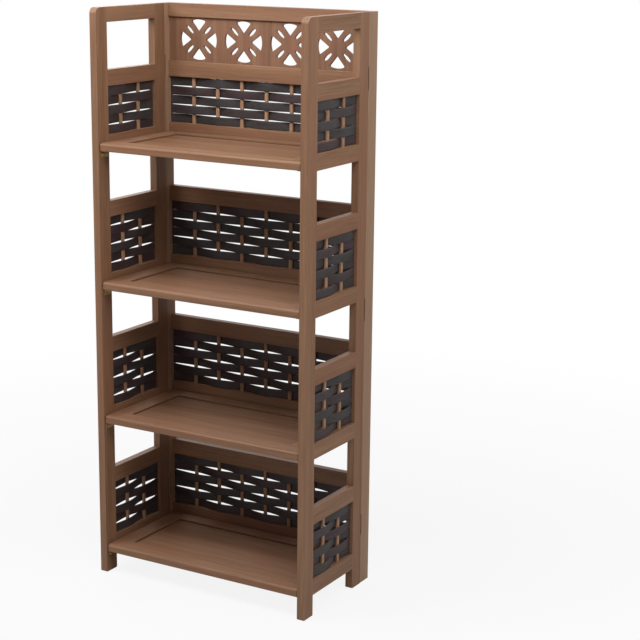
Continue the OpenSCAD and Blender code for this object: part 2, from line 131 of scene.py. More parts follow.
class Hand(Enum):
    """Left or right as seen from the front, with the sign of x on that side."""

    LEFT = ("left", -1)
    RIGHT = ("right", 1)

    @property
    def word(self) -> str:
        """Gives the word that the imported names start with."""
        return self.value[0]

    @property
    def sign(self) -> int:
        """Gives the sign of x on this side."""
        return self.value[1]


class Graph:
    """Adds nodes to a material's tree."""

    def __init__(self, name: str) -> None:
        """Makes a material with a Principled shader.

        Args:
            name: the material's name.
        """
        self.material = bpy.data.materials.new(name)
        self.material.use_nodes = True
        self.tree = self.material.node_tree
        self.shader = self.tree.nodes["Principled BSDF"]

    def node(self, kind: str, **settings: object) -> bpy.types.Node:
        """Adds a node and sets its properties.

        Args:
            kind: the node's type, such as ShaderNodeTexNoise.
            **settings: properties of the node, by name.

        Returns:
            The new node.
        """
        made = self.tree.nodes.new(kind)
        for key, value in settings.items():
            setattr(made, key, value)
        return made

    def feed(self, node: bpy.types.Node, **inputs: object) -> bpy.types.Node:
        """Sets a node's inputs to values or links them to outputs.

        Args:
            node: the node whose inputs are set.
            **inputs: input names in lower case with underscores, each with a value or an output.

        Returns:
            The same node.
        """
        for key, value in inputs.items():
            socket = self.socket(node, key)
            if isinstance(value, bpy.types.NodeSocket):
                self.tree.links.new(value, socket)
            else:
                socket.default_value = value
        return node

    @staticmethod
    def socket(node: bpy.types.Node, key: str) -> bpy.types.NodeSocket:
        """Finds a node's input by its name or, for a maths node, its number.

        Args:
            node: the node.
            key: the name in lower case with underscores, or in_0, in_1 and so on.

        Returns:
            The input socket.
        """
        if key.startswith("in_"):
            return node.inputs[int(key[3:])]
        for socket in node.inputs:
            if socket.enabled and socket.name.lower().replace(" ", "_") == key:
                return socket
        raise KeyError(f"{node.name} has no input {key}")

    def noise(
        self, vector: bpy.types.NodeSocket, scale: float, detail: float, rough: float
    ) -> bpy.types.NodeSocket:
        """Adds a noise texture.

        Args:
            vector: its coordinates.
            scale: features per metre, about.
            detail: octaves.
            rough: strength of the finer octaves.

        Returns:
            The noise value, about 0.3 to 0.7.
        """
        made = self.node("ShaderNodeTexNoise", noise_dimensions="3D")
        self.feed(made, vector=vector, scale=scale, detail=detail, roughness=rough)
        return made.outputs["Fac"]

    def mapped(self, vector: bpy.types.NodeSocket, scale: Vector) -> bpy.types.NodeSocket:
        """Adds a Mapping node that stretches coordinates.

        Args:
            vector: the coordinates.
            scale: scale in x, y and z.

        Returns:
            The stretched coordinates.
        """
        made = self.feed(self.node("ShaderNodeMapping"), vector=vector, scale=scale)
        return made.outputs["Vector"]

    def ranged(
        self, value: bpy.types.NodeSocket, low: float, high: float, to_low: float, to_high: float
    ) -> bpy.types.NodeSocket:
        """Adds a Map Range node that clamps.

        Args:
            value: the input value.
            low: input that gives to_low.
            high: input that gives to_high.
            to_low: lowest output.
            to_high: highest output.

        Returns:
            The mapped value.
        """
        made = self.node("ShaderNodeMapRange", clamp=True)
        self.feed(made, value=value, from_min=low, from_max=high, to_min=to_low, to_max=to_high)
        return made.outputs["Result"]

    def maths(self, operation: str, first: object, second: object) -> bpy.types.NodeSocket:
        """Adds a Math node.

        Args:
            operation: its operation, such as MULTIPLY.
            first: a value or an output.
            second: a value or an output.

        Returns:
            The result.
        """
        made = self.node("ShaderNodeMath", operation=operation)
        self.feed(made, in_0=first, in_1=second)
        return made.outputs[0]

    def mixed(self, factor: object, first: object, second: object) -> bpy.types.NodeSocket:
        """Adds a Mix node for colours.

        Args:
            factor: share of the second colour.
            first: a colour or an output.
            second: a colour or an output.

        Returns:
            The mixed colour.
        """
        made = self.node("ShaderNodeMix", data_type="RGBA", clamp_factor=True)
        for socket, value in ((made.inputs[0], factor), (made.inputs[6], first), (made.inputs[7], second)):
            if isinstance(value, bpy.types.NodeSocket):
                self.tree.links.new(value, socket)
            else:
                socket.default_value = value
        return made.outputs[2]

    def board_coordinates(self, spread: float) -> tuple[bpy.types.NodeSocket, bpy.types.NodeSocket]:
        """Gives coordinates that differ from board to board, and the board's own number.

        Args:
            spread: how far apart, in metres, two boards' patterns may be.

        Returns:
            The shifted object coordinates, and a value from 0 to 1 for each board.
        """
        place = self.node("ShaderNodeTexCoord").outputs["Object"]
        board = self.node("ShaderNodeAttribute", attribute_name=BOARD_ATTRIBUTE).outputs["Fac"]
        shift = self.node("ShaderNodeVectorMath", operation="MULTIPLY_ADD")
        self.feed(shift, in_0=board, in_1=(spread, 1.7 * spread, 2.3 * spread), in_2=place)
        return shift.outputs[0], board

    def bump(self, height: bpy.types.NodeSocket, distance: float, strength: float) -> None:
        """Adds a bump to the shader's normal.

        Args:
            height: the height pattern.
            distance: depth of the pattern in metres.
            strength: share of it that shows.
        """
        made = self.node("ShaderNodeBump")
        self.feed(made, height=height, distance=distance, strength=strength)
        self.tree.links.new(made.outputs["Normal"], self.shader.inputs["Normal"])


@dataclass(frozen=True)
class WoodFinish:
    """Stained wood with a thin matt finish: fine straight streaks, slow drifts of tone and short pores."""

    name: str
    pale: Colour
    dark: Colour
    blush: Colour
    drift_scale: float = 30.0
    streak_share: float = 0.5
    blush_share: float = 0.5
    tone_spread: float = 0.12
    roughness: float = 0.5
    specular: float = 0.4

    def material(self, grain: Axis) -> bpy.types.Material:
        """Makes the material for boards whose grain runs one way.

        Args:
            grain: the axis along the boards.

        Returns:
            The material.
        """
        graph = Graph(f"{self.name}_{grain.name.lower()}")
        place, board = graph.board_coordinates(spread=3.0)
        drawn_out = graph.mapped(place, grain.stretched(0.03, 1.0))
        drift = graph.noise(drawn_out, self.drift_scale, 2.0, 0.5)
        streak = graph.noise(drawn_out, 300.0, 3.0, 0.65)
        redder = graph.noise(graph.mapped(place, grain.stretched(0.05, 1.4)), self.drift_scale, 1.0, 0.5)
        pores = graph.noise(graph.mapped(place, grain.stretched(0.04, 1.0)), 1500.0, 1.0, 0.5)

        fine = graph.maths("MULTIPLY", streak, self.streak_share)
        slow = graph.maths("MULTIPLY", drift, 1 - self.streak_share)
        share = graph.ranged(graph.maths("ADD", fine, slow), 0.36, 0.64, 0.0, 1.0)
        colour = graph.mixed(share, linear(self.pale), linear(self.dark))
        blush_share = graph.ranged(redder, 0.45, 0.62, 0.0, self.blush_share)
        colour = graph.mixed(blush_share, colour, linear(self.blush))
        pore_share = graph.ranged(pores, 0.60, 0.68, 0.0, 0.3)
        colour = graph.mixed(pore_share, colour, linear(self.dark))
        tint = graph.node("ShaderNodeHueSaturation")
        tone = graph.ranged(board, 0.0, 1.0, 1 - self.tone_spread / 2, 1 + self.tone_spread / 2)
        graph.feed(tint, color=colour, value=tone)
        graph.tree.links.new(tint.outputs["Color"], graph.shader.inputs["Base Color"])

        rough = graph.ranged(streak, 0.3, 0.7, self.roughness - 0.05, self.roughness + 0.07)
        graph.tree.links.new(rough, graph.shader.inputs["Roughness"])
        graph.feed(graph.shader, specular_ior_level=self.specular)
        height = graph.maths("SUBTRACT", streak, graph.maths("MULTIPLY", pore_share, 1.5))
        graph.bump(height, 0.1 * MM, 0.35)
        return graph.material


@dataclass(frozen=True)
class StripFinish:
    """Dark split strip for the woven rows: fine lines along it, plum and slate rows, and a low sheen."""

    name: str
    plum: Colour
    slate: Colour
    dark: Colour
    roughness: float = 0.5
    specular: float = 0.4

    def material(self, run: Axis) -> bpy.types.Material:
        """Makes the material for rows that run one way.

        Args:
            run: the axis along the rows.

        Returns:
            The material.
        """
        graph = Graph(f"{self.name}_{run.name.lower()}")
        place, board = graph.board_coordinates(spread=2.0)
        lines = graph.noise(graph.mapped(place, run.stretched(0.02, 1.0)), 700.0, 3.0, 0.7)
        mottle = graph.noise(graph.mapped(place, run.stretched(0.25, 1.0)), 60.0, 3.0, 0.6)
        kind = graph.maths("ADD", board, graph.maths("MULTIPLY", mottle, 0.6))
        tone = graph.mixed(graph.ranged(kind, 0.5, 1.1, 0.0, 1.0), linear(self.plum), linear(self.slate))
        share = graph.maths("ADD", graph.maths("MULTIPLY", lines, 0.6), graph.maths("MULTIPLY", mottle, 0.4))
        colour = graph.mixed(graph.ranged(share, 0.38, 0.62, 0.75, 0.0), tone, linear(self.dark))
        tint = graph.node("ShaderNodeHueSaturation")
        graph.feed(tint, color=colour, value=graph.ranged(board, 0.0, 1.0, 0.9, 1.12))
        graph.tree.links.new(tint.outputs["Color"], graph.shader.inputs["Base Color"])
        rough = graph.ranged(mottle, 0.3, 0.7, self.roughness - 0.06, self.roughness + 0.1)
        graph.tree.links.new(rough, graph.shader.inputs["Roughness"])
        graph.feed(graph.shader, specular_ior_level=self.specular)
        graph.bump(lines, 0.12 * MM, 0.5)
        return graph.material


@dataclass(frozen=True)
class MetalFinish:
    """Plated or plain metal with faint handling marks."""

    name: str
    colour: Colour
    worn: Colour
    roughness: float = 0.32
    metallic: float = 1.0

    def material(self) -> bpy.types.Material:
        """Makes the material.

        Returns:
            The material.
        """
        graph = Graph(self.name)
        place = graph.node("ShaderNodeTexCoord").outputs["Object"]
        marks = graph.noise(place, 320.0, 4.0, 0.6)
        colour = graph.mixed(graph.ranged(marks, 0.42, 0.7, 0.0, 0.6), linear(self.colour), linear(self.worn))
        graph.tree.links.new(colour, graph.shader.inputs["Base Color"])
        rough = graph.ranged(marks, 0.3, 0.7, self.roughness - 0.06, self.roughness + 0.12)
        graph.tree.links.new(rough, graph.shader.inputs["Roughness"])
        graph.feed(graph.shader, metallic=self.metallic)
        graph.bump(marks, 0.04 * MM, 0.3)
        return graph.material


@dataclass(frozen=True)
class HingeFinish:
    """Hinges: leaves of dark bronze, darkened almost to black as painted shade for the slits they sit in, and
    knuckles, nearer the unit's middle, toned to the wood.
    """

    name: str
    leaf: Colour
    knuckle: Colour
    knuckle_end: float = 0.2858
    roughness: float = 0.5

    def material(self) -> bpy.types.Material:
        """Makes the material.

        Returns:
            The material.
        """
        graph = Graph(self.name)
        place = graph.node("ShaderNodeTexCoord").outputs["Object"]
        parts = graph.node("ShaderNodeSeparateXYZ")
        graph.tree.links.new(place, parts.inputs[0])
        reach = graph.maths("ABSOLUTE", parts.outputs[0], 0.0)
        outer = graph.ranged(reach, self.knuckle_end, self.knuckle_end + 0.2 * MM, 0.0, 1.0)
        marks = graph.noise(place, 320.0, 4.0, 0.6)
        # Leaves get the near-black colour, which is dark bronze plus painted shade; knuckles get the wood tone.
        colour = graph.mixed(outer, linear(self.knuckle), linear(self.leaf))
        worn = graph.ranged(marks, 0.42, 0.7, 0.0, 0.25)
        colour = graph.mixed(worn, colour, linear(self.knuckle))
        graph.tree.links.new(colour, graph.shader.inputs["Base Color"])
        graph.tree.links.new(graph.ranged(outer, 0.0, 1.0, 0.1, 0.7), graph.shader.inputs["Metallic"])
        rough = graph.ranged(marks, 0.3, 0.7, self.roughness - 0.06, self.roughness + 0.12)
        graph.tree.links.new(rough, graph.shader.inputs["Roughness"])
        return graph.material


FRAME_WOOD = WoodFinish("frame_wood", pale=(155, 117, 89), dark=(121, 87, 63), blush=(139, 95, 71))
RAIL_WOOD = replace(FRAME_WOOD, name="rail_wood")
# The posts are painted paler and pinker than the frame wood: a painted highlight for the light that falls on
# their faces.
POST_WOOD_PAINTED_HIGHLIGHT = WoodFinish("post_wood", pale=(178, 146, 119), dark=(148, 117, 91), blush=(163, 125, 101))
FRET_WOOD = WoodFinish(
    "fret_wood", pale=(149, 112, 87), dark=(117, 83, 62), blush=(134, 91, 71), drift_scale=45.0
)
SHELF_WOOD = WoodFinish("shelf_wood", pale=(156, 118, 89), dark=(123, 87, 62), blush=(140, 96, 70))
PANEL_WOOD = WoodFinish(
    "panel_wood", pale=(151, 113, 85), dark=(119, 83, 59), blush=(136, 92, 67), drift_scale=22.0
)
SLAT_WOOD = WoodFinish("slat_wood", pale=(186, 150, 120), dark=(150, 114, 86), blush=(170, 126, 100))
STRIP = StripFinish("woven_strip", plum=(76, 60, 62), slate=(64, 62, 62), dark=(40, 32, 31))
BRASS = MetalFinish("rest_brass", colour=(205, 172, 112), worn=(168, 132, 78), roughness=0.3)
# The leaf colour is near black: dark bronze plus painted shade for the hinge slits.
HINGE_BRONZE_WITH_SHADE = HingeFinish("hinge_bronze", leaf=(40, 31, 25), knuckle=(122, 88, 66))
PIN_STEEL = MetalFinish("pin_steel", colour=(170, 170, 168), worn=(140, 140, 138), roughness=0.35)


@dataclass(frozen=True)
class Easing:
    """How the edges of a board or a fitting are eased.

    Attributes:
        width: the eased edge's width.
        segments: its steps.
        along: the axis whose edges alone are eased, or None for all outer edges.
        shortest: edges shorter than this stay sharp.
        smallest_mouth: openings in a face smaller than this stay sharp.
    """

    width: float
    segments: int = 3
    along: Axis | None = None
    shortest: float = 0.6 * MM
    smallest_mouth: float = 10 * MM


BOARD_EDGE = Easing(1.1 * MM)
SLAT_EDGE = Easing(1.2 * MM, along=Axis.Z)
FRET_EDGE = Easing(0.5 * MM, segments=2)
PANEL_EDGE = Easing(0.3 * MM, segments=1)
FITTING_EDGE = Easing(0.3 * MM, segments=2)


class Packed:
    """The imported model: its nodes, bodies and slots."""

    def __init__(self) -> None:
        """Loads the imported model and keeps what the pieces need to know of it."""
        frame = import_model()
        self.nodes: dict[str, bpy.types.Object] = frame["nodes"]
        record = frame["record"]
        bodies = record["behaviour"]["bodies"]
        self.body_of = {node: body for body, nodes in bodies.items() for node in nodes}
        self.slot_of = {part["node"]: part["material_slot"] for part in record["subparts"]}

    def merged(self, node: str) -> bmesh.types.BMesh:
        """Copies a node's mesh and joins its loose triangles into flat faces.

        Args:
            node: the node's name.

        Returns:
            The copy, which the caller frees.
        """
        mesh = bmesh.new()
        mesh.from_mesh(self.nodes[node].data)
        bmesh.ops.remove_doubles(mesh, verts=mesh.verts, dist=MERGE_DISTANCE)
        bmesh.ops.dissolve_limit(
            mesh, angle_limit=FLAT_ANGLE, verts=mesh.verts, edges=mesh.edges, use_dissolve_boundaries=False
        )
        return mesh

    def solids(self, node: str) -> list[Solid]:
        """Lists a node's separate solids.

        Args:
            node: the node's name.

        Returns:
            The box of each solid, in the order of the mesh.
        """
        mesh = self.merged(node)
        found = [Solid.around(island) for island in islands(mesh)]
        mesh.free()
        return found

    def dress(self, node: str, material: bpy.types.Material) -> None:
        """Gives a node that stays as it is its material.

        Args:
            node: the node's name.
            material: the material.
        """
        slots = self.nodes[node].data.materials
        slots.clear()
        slots.append(material)

    def stand_in(self, piece: bpy.types.Object, node: str) -> None:
        """Lets a piece stand for a node, on the same body, and hides the node.

        Args:
            piece: the new piece.
            node: the node that it replaces.
        """
        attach(piece, self.body_of[node])
        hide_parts(node)


@dataclass(frozen=True)
class Solid:
    """The box round one solid of a node."""

    low: Vector
    high: Vector

    @classmethod
    def around(cls, verts: Iterable[bmesh.types.BMVert]) -> Solid:
        """Makes the box round some vertices.

        Args:
            verts: the vertices.

        Returns:
            Their box.
        """
        places = [vert.co for vert in verts]
        low = Vector([min(place[i] for place in places) for i in range(3)])
        high = Vector([max(place[i] for place in places) for i in range(3)])
        return cls(low, high)

    @property
    def centre(self) -> Vector:
        """Gives the box's middle."""
        return (self.low + self.high) / 2

    @property
    def size(self) -> Vector:
        """Gives the box's lengths."""
        return self.high - self.low

    def planes_at(self, place: Vector) -> int:
        """Counts the faces of the box that a point lies on.

        Args:
            place: the point.

        Returns:
            A number from 0 to 3.
        """
        gaps = [min(abs(place[i] - self.low[i]), abs(place[i] - self.high[i])) for i in range(3)]
        return sum(gap < PLANE_TOLERANCE for gap in gaps)


def islands(mesh: bmesh.types.BMesh) -> list[list[bmesh.types.BMVert]]:
    """Splits a mesh into its separate solids.

    Args:
        mesh: the mesh.

    Returns:
        The vertices of each solid.
    """
    seen: set[int] = set()
    found: list[list[bmesh.types.BMVert]] = []
    mesh.verts.index_update()
    for start in mesh.verts:
        if start.index in seen:
            continue
        seen.add(start.index)
        island, queue = [], [start]
        while queue:
            vert = queue.pop()
            island.append(vert)
            for edge in vert.link_edges:
                other = edge.other_vert(vert)
                if other.index not in seen:
                    seen.add(other.index)
                    queue.append(other)
        found.append(island)
    return found


def chains(edges: list[bmesh.types.BMEdge]) -> list[list[bmesh.types.BMEdge]]:
    """Sorts edges into runs that join end to end.

    Args:
        edges: the edges.

    Returns:
        The edges of each run.
    """
    left = set(edges)
    found: list[list[bmesh.types.BMEdge]] = []
    while left:
        run, queue = [], [left.pop()]
        while queue:
            edge = queue.pop()
            run.append(edge)
            for other in {other for vert in edge.verts for other in vert.link_edges} & left:
                left.discard(other)
                queue.append(other)
        found.append(run)
    return found


def reach_of(run: list[bmesh.types.BMEdge]) -> float:
    """Gives the longest side of the box round a run of edges.

    Args:
        run: the edges.

    Returns:
        The length of that side.
    """
    return max(Solid.around([vert for edge in run for vert in edge.verts]).size)


def number_boards(mesh: bmesh.types.BMesh, name: str) -> None:
    """Gives each solid of a mesh its own number from 0 to 1, for tone and grain.

    Args:
        mesh: the mesh.
        name: the piece's name, which seeds the numbers.
    """
    layer = mesh.verts.layers.float.new(BOARD_ATTRIBUTE)
    draw = random.Random(name)
    for island in islands(mesh):
        value = draw.random()
        for vert in island:
            vert[layer] = value


def finished(mesh: bmesh.types.BMesh, name: str, material: bpy.types.Material) -> bpy.types.Object:
    """Turns a bmesh into a smooth-shaded piece with its material.

    Args:
        mesh: the bmesh, which is freed.
        name: the piece's name.
        material: the material.

    Returns:
        The piece, linked to the scene.
    """
    number_boards(mesh, name)
    for face in mesh.faces:
        face.smooth = True
    data = bpy.data.meshes.new(name)
    mesh.normal_update()
    mesh.to_mesh(data)
    mesh.free()
    data.set_sharp_from_angle(angle=SHARP_ANGLE)
    data.materials.append(material)
    piece = bpy.data.objects.new(name, data)
    bpy.context.scene.collection.objects.link(piece)
    weighted = piece.modifiers.new("even_faces", "WEIGHTED_NORMAL")
    weighted.keep_sharp = True
    weighted.weight = 100
    return piece


class Workshop:
    """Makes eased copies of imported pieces."""

    def __init__(self, packed: Packed) -> None:
        """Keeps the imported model.

        Args:
            packed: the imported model.
        """
        self.packed = packed

    def eased(self, node: str, easing: Easing, material: bpy.types.Material) -> bpy.types.Object:
        """Replaces a node by a copy with eased edges.

        Args:
            node: the node's name.
            easing: how its edges are eased.
            material: the copy's material.

        Returns:
            The new piece.
        """
        mesh = self.packed.merged(node)
        edges = [edge for island in islands(mesh) for edge in self._outer_edges(island, easing)]
        bmesh.ops.bevel(
            mesh,
            geom=edges,
            offset=easing.width,
            offset_type="OFFSET",
            affect="EDGES",
            segments=easing.segments,
            profile=0.5,
            clamp_overlap=True,
            material=-1,
        )
        piece = finished(mesh, f"{node}_eased", material)
        self.packed.stand_in(piece, node)
        log.info("%s: %d edges eased", node, len(edges))
        return piece

    @staticmethod
    def _outer_edges(island: list[bmesh.types.BMVert], easing: Easing) -> list[bmesh.types.BMEdge]:
        """Finds the edges that a maker would ease: the outer ones, not those of bores and mortises.

        Args:
            island: the vertices of one solid.
            easing: which edges count.

        Returns:
            The edges.
        """
        solid = Solid.around(island)
        chosen: list[bmesh.types.BMEdge] = []
        shaped: list[bmesh.types.BMEdge] = []
        for edge in {edge for vert in island for edge in vert.link_edges}:
            if len(edge.link_faces) != 2 or edge.calc_face_angle(0) < EASED_ANGLE:
                continue
            step = edge.verts[1].co - edge.verts[0].co
            if step.length < easing.shortest or not edge.is_convex:
                continue
            planes = solid.planes_at((edge.verts[0].co + edge.verts[1].co) / 2)
            straight = step.length * STRAIGHT
            aligned = max(abs(part) for part in step) > straight
            if easing.along is not None:
                if aligned and abs(step[easing.along.value]) > straight and planes == 2:
                    chosen.append(edge)
            elif planes == 2:
                chosen.append(edge)
            elif planes == 1 and not aligned:
                shaped.append(edge)
        for run in chains(shaped):
            if reach_of(run) > easing.smallest_mouth:
                chosen.extend(run)
        return chosen


@dataclass
class WovenBand:
    """One band of rows that pass in front of and behind upright slats.

    Attributes:
        node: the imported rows' node.
        slat_node: the node of the slats that they pass.
        run: the axis along the rows.
        thickness: the strip's thickness in its middle.
        edge_round: how suddenly its long edges round off; more is squarer.
        edge_thickness: its thickness at the very edge.
        crown: share of the thickness that it loses from its middle to its edges.
        end_growth: how much further each long edge reaches at a row's ends.
        rail_growth: how much further the top row reaches up towards its rail.
        lean: the most that a row leans across the band.
        bay_cuts: steps from slat to slat.
        height_cuts: cuts along the strip.
        rows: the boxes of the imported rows.
    """

    node: str
    slat_node: str
    run: Axis
    thickness: float = 3.0 * MM
    edge_round: float = 20.0
    edge_thickness: float = 1.0 * MM
    crown: float = 0.12
    end_growth: float = 0.6 * MM
    rail_growth: float = 0.8 * MM
    lean: float = 0.35 * MM
    bay_cuts: int = 8
    height_cuts: int = 7
    rows: list[Solid] = field(default_factory=list)

    def build(self, packed: Packed, material: bpy.types.Material) -> bpy.types.Object:
        """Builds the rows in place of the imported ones.

        Args:
            packed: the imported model.
            material: the rows' material.

        Returns:
            The piece.
        """
        self.rows = packed.solids(self.node)
        across = Axis.Y if self.run is Axis.X else Axis.X
        box = self.rows[0]
        slats = [s for s in packed.solids(self.slat_node) if s.low.z < box.centre.z < s.high.z]
        stops = sorted(slat.centre[self.run.value] for slat in slats)
        middle = slats[0].centre[across.value]
        half_wave = (self._reach() - self._row_thickness(packed)) / 2
        mesh = bmesh.new()
        for row in self.rows:
            turn = self._first_turn(packed, row, stops[0], middle, across)
            self._add_row(mesh, row, stops, middle, turn * half_wave, across)
        piece = finished(mesh, f"{self.node}_rows", material)
        packed.stand_in(piece, self.node)
        log.info("%s: %d rows round %d slats", self.node, len(self.rows), len(stops))
        return piece

    def _reach(self) -> float:
        """Gives the band's whole depth across its slats."""
        low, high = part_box(self.node)
        return min((high - low).x, (high - low).y)

    def _row_thickness(self, packed: Packed) -> float:
        """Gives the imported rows' own thickness, read at their ends, which lie in the frame's middle.

        Args:
            packed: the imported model.

        Returns:
            The thickness.
        """
        mesh = packed.merged(self.node)
        across = 1 if self.run is Axis.X else 0
        start = min(vert.co[self.run.value] for vert in mesh.verts)
        ends = [vert.co[across] for vert in mesh.verts if vert.co[self.run.value] - start < PLANE_TOLERANCE]
        mesh.free()
        return max(ends) - min(ends)

    def _first_turn(self, packed: Packed, row: Solid, stop: float, middle: float, across: Axis) -> int:
        """Finds which side of the first slat a packed row passes.

        Args:
            packed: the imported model.
            row: the row's box.
            stop: the first slat's place along the row.
            middle: the slats' place across the band.
            across: the axis across the band.

        Returns:
            1 or -1, the sign of the row's offset there.
        """
        near = [
            vert.co[across.value] - middle
            for vert in packed.nodes[self.node].data.vertices
            if row.low.z <= vert.co.z <= row.high.z and abs(vert.co[self.run.value] - stop) < 1 * MM
        ]
        return 1 if sum(near) > 0 else -1

    def _add_row(
        self,
        mesh: bmesh.types.BMesh,
        row: Solid,
        stops: list[float],
        middle: float,
        wave: float,
        across: Axis,
    ) -> None:
        """Adds one row: a strip with rounded edges, bent past the slats.

        Args:
            mesh: the band's mesh.
            row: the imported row's box.
            stops: the slats' places along the row.
            middle: the slats' place across the band.
            wave: the row's offset at the first slat, with its sign.
            across: the axis across the band.
        """
        start, end = row.low[self.run.value], row.high[self.run.value]
        bays = [start, *stops, end]
        strip = self._straight_strip(len(bays) - 1)
        draw = random.Random(f"{self.node}:{row.low.z:.4f}")
        lean = draw.uniform(-self.lean, self.lean)
        top_row = row.high.z == max(other.high.z for other in self.rows)
        for vert in strip.verts:
            up = math.copysign(1 - (1 - abs(2 * vert.co.z)) ** 2, vert.co.z)
            side = 1 if vert.co.y > 0 else -1
            along = self._place(vert.co.x + 0.5, bays)
            near_end = max(0.0, 1 - min(along - start, end - along) / (stops[0] - start))
            half_height = row.size.z / 2 + self.end_growth * near_end
            if top_row and up > 0:
                half_height = row.size.z / 2 + self.rail_growth
            place = Vector((0.0, 0.0, row.centre.z + up * half_height))
            place[self.run.value] = along
            offset = self._offset(along, stops, start, end, wave)
            place[across.value] = middle + offset + side * self._half_thickness(up) + lean * up
            vert.co = place
        bmesh.ops.recalc_face_normals(strip, faces=strip.faces)
        data = bpy.data.meshes.new("row")
        strip.to_mesh(data)
        strip.free()
        mesh.from_mesh(data)
        bpy.data.meshes.remove(data)

    def _half_thickness(self, up: float) -> float:
        """Gives half the strip's thickness: slightly crowned, with small rounded edges.

        Args:
            up: -1 at the strip's lower edge and 1 at its upper edge.

        Returns:
            Half the thickness there.
        """
        edge = self.edge_thickness / 2
        rounded = math.sqrt(max(0.0, 1 - abs(up) ** self.edge_round))
        return edge + (self.thickness / 2 - edge) * rounded * (1 - self.crown * up * up)

    def _straight_strip(self, bays: int) -> bmesh.types.BMesh:
        """Makes a strip one unit long and high, cut across for every bay and along its height.

        Args:
            bays: the number of bays.

        Returns:
            The strip, which the caller frees.
        """
        strip = bmesh.new()
        bmesh.ops.create_cube(strip, size=1.0)
        for way, cuts in ((0, bays * self.bay_cuts - 1), (2, self.height_cuts)):
            edges = [edge for edge in strip.edges if abs((edge.verts[0].co - edge.verts[1].co)[way]) > 0.5]
            bmesh.ops.subdivide_edges(strip, edges=edges, cuts=cuts, use_grid_fill=True)
        return strip

    @staticmethod
    def _place(share: float, bays: list[float]) -> float:
        """Spreads the cuts evenly over the bays.

        Args:
            share: 0 at the row's start and 1 at its end.
            bays: the places that divide the row.

        Returns:
            The place along the row.
        """
        count = len(bays) - 1
        bay = min(int(share * count + 1e-6), count - 1)
        part = share * count - bay
        return bays[bay] + (bays[bay + 1] - bays[bay]) * part

    @staticmethod
    def _offset(along: float, stops: list[float], start: float, end: float, wave: float) -> float:
        """Gives a row's offset across the band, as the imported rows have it.

        Args:
            along: the place along the row.
            stops: the slats' places.
            start: the row's start.
            end: the row's end.
            wave: the offset at the first slat.

        Returns:
            The offset.
        """
        pitch = stops[1] - stops[0]
        if along < stops[0]:
            return wave * math.sin(math.pi / 2 * (along - start) / (stops[0] - start))
        if along > stops[-1]:
            last = wave if len(stops) % 2 else -wave
            return last * math.sin(math.pi / 2 * (end - along) / (end - stops[-1]))
        return wave * math.cos(math.pi * (along - stops[0]) / pitch)


@dataclass
class SideFrame:
    """A side: two stiles, rails, slats and woven bands."""

    hand: Hand
    bands: int = 4

    def build(self, packed: Packed, shop: Workshop) -> None:
        """Builds the side's pieces.

        Args:
            packed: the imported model.
            shop: makes the eased copies.
        """
        upright = FRAME_WOOD.material(Axis.Z)
        level = RAIL_WOOD.material(Axis.Y)
        word = self.hand.word
        for stile in ("front_stile", "rear_stile"):
            shop.eased(f"{word}_{stile}", BOARD_EDGE, upright)
        for rails in ("top_rail", "weave_top_rails", "shelf_rails"):
            shop.eased(f"{word}_{rails}", replace(BOARD_EDGE, along=Axis.Y), level)
        shop.eased(f"{word}_slats", SLAT_EDGE, SLAT_WOOD.material(Axis.Z))
        strip = STRIP.material(Axis.Y)
        for number in range(1, self.bands + 1):
            WovenBand(f"{word}_weave_{number}", f"{word}_slats", Axis.Y).build(packed, strip)
        packed.dress(f"{word}_dowels", SLAT_WOOD.material(Axis.Y))


@dataclass
class BackFrame:
    """The back: two posts, rails, the pierced board, slats and woven bands."""

    bands: int = 4

    def build(self, packed: Packed, shop: Workshop) -> None:
        """Builds the back's pieces.

        Args:
            packed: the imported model.
            shop: makes the eased copies.
        """
        level = RAIL_WOOD.material(Axis.X)
        for hand in Hand:
            # The posts' paler colour is a painted highlight.
            shop.eased(f"{hand.word}_post", BOARD_EDGE, POST_WOOD_PAINTED_HIGHLIGHT.material(Axis.Z))
        for rails in ("back_top_rail", "back_weave_top_rails", "back_shelf_rails"):
            shop.eased(rails, replace(BOARD_EDGE, along=Axis.X), level)
        shop.eased("fret_panel", FRET_EDGE, FRET_WOOD.material(Axis.Z))
        shop.eased("back_slats", SLAT_EDGE, SLAT_WOOD.material(Axis.Z))
        strip = STRIP.material(Axis.X)
        for number in range(1, self.bands + 1):
            WovenBand(f"back_weave_{number}", "back_slats", Axis.X).build(packed, strip)
        packed.dress("back_dowels", SLAT_WOOD.material(Axis.X))


@dataclass
class Shelf:
    """A framed shelf with a sunk panel and its pivot pins."""

    number: int

    def build(self, packed: Packed, shop: Workshop) -> None:
        """Builds the shelf's pieces.

        Args:
            packed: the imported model.
            shop: makes the eased copies.
        """
        name = f"shelf_{self.number}"
        shop.eased(f"{name}_long_rails", BOARD_EDGE, SHELF_WOOD.material(Axis.X))
        shop.eased(f"{name}_end_rails", replace(BOARD_EDGE, along=Axis.Y), SHELF_WOOD.material(Axis.Y))
        shop.eased(f"{name}_panel", PANEL_EDGE, PANEL_WOOD.material(Axis.X))
        packed.dress(f"{name}_pivot_pins", PIN_STEEL.material())


@dataclass
class Fittings:
    """Brass rests with their screws, and bronze hinges whose leaves are darkened with painted shade."""

    def build(self, packed: Packed, shop: Workshop) -> None:
        """Builds the fittings.

        Args:
            packed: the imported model.
            shop: makes the eased copies.
        """
        brass = BRASS.material()
        # The hinge material's leaves are near black: dark bronze plus painted shade for the slits.
        bronze = HINGE_BRONZE_WITH_SHADE.material()
        for hand in Hand:
            shop.eased(f"{hand.word}_shelf_rests", FITTING_EDGE, brass)
            for part in ("post_leaves", "side_leaves", "pins"):
                packed.dress(f"{hand.word}_hinge_{part}", bronze)
        packed.dress("shelf_rest_screws", brass)
        packed.dress("side_hinge_screws", bronze)


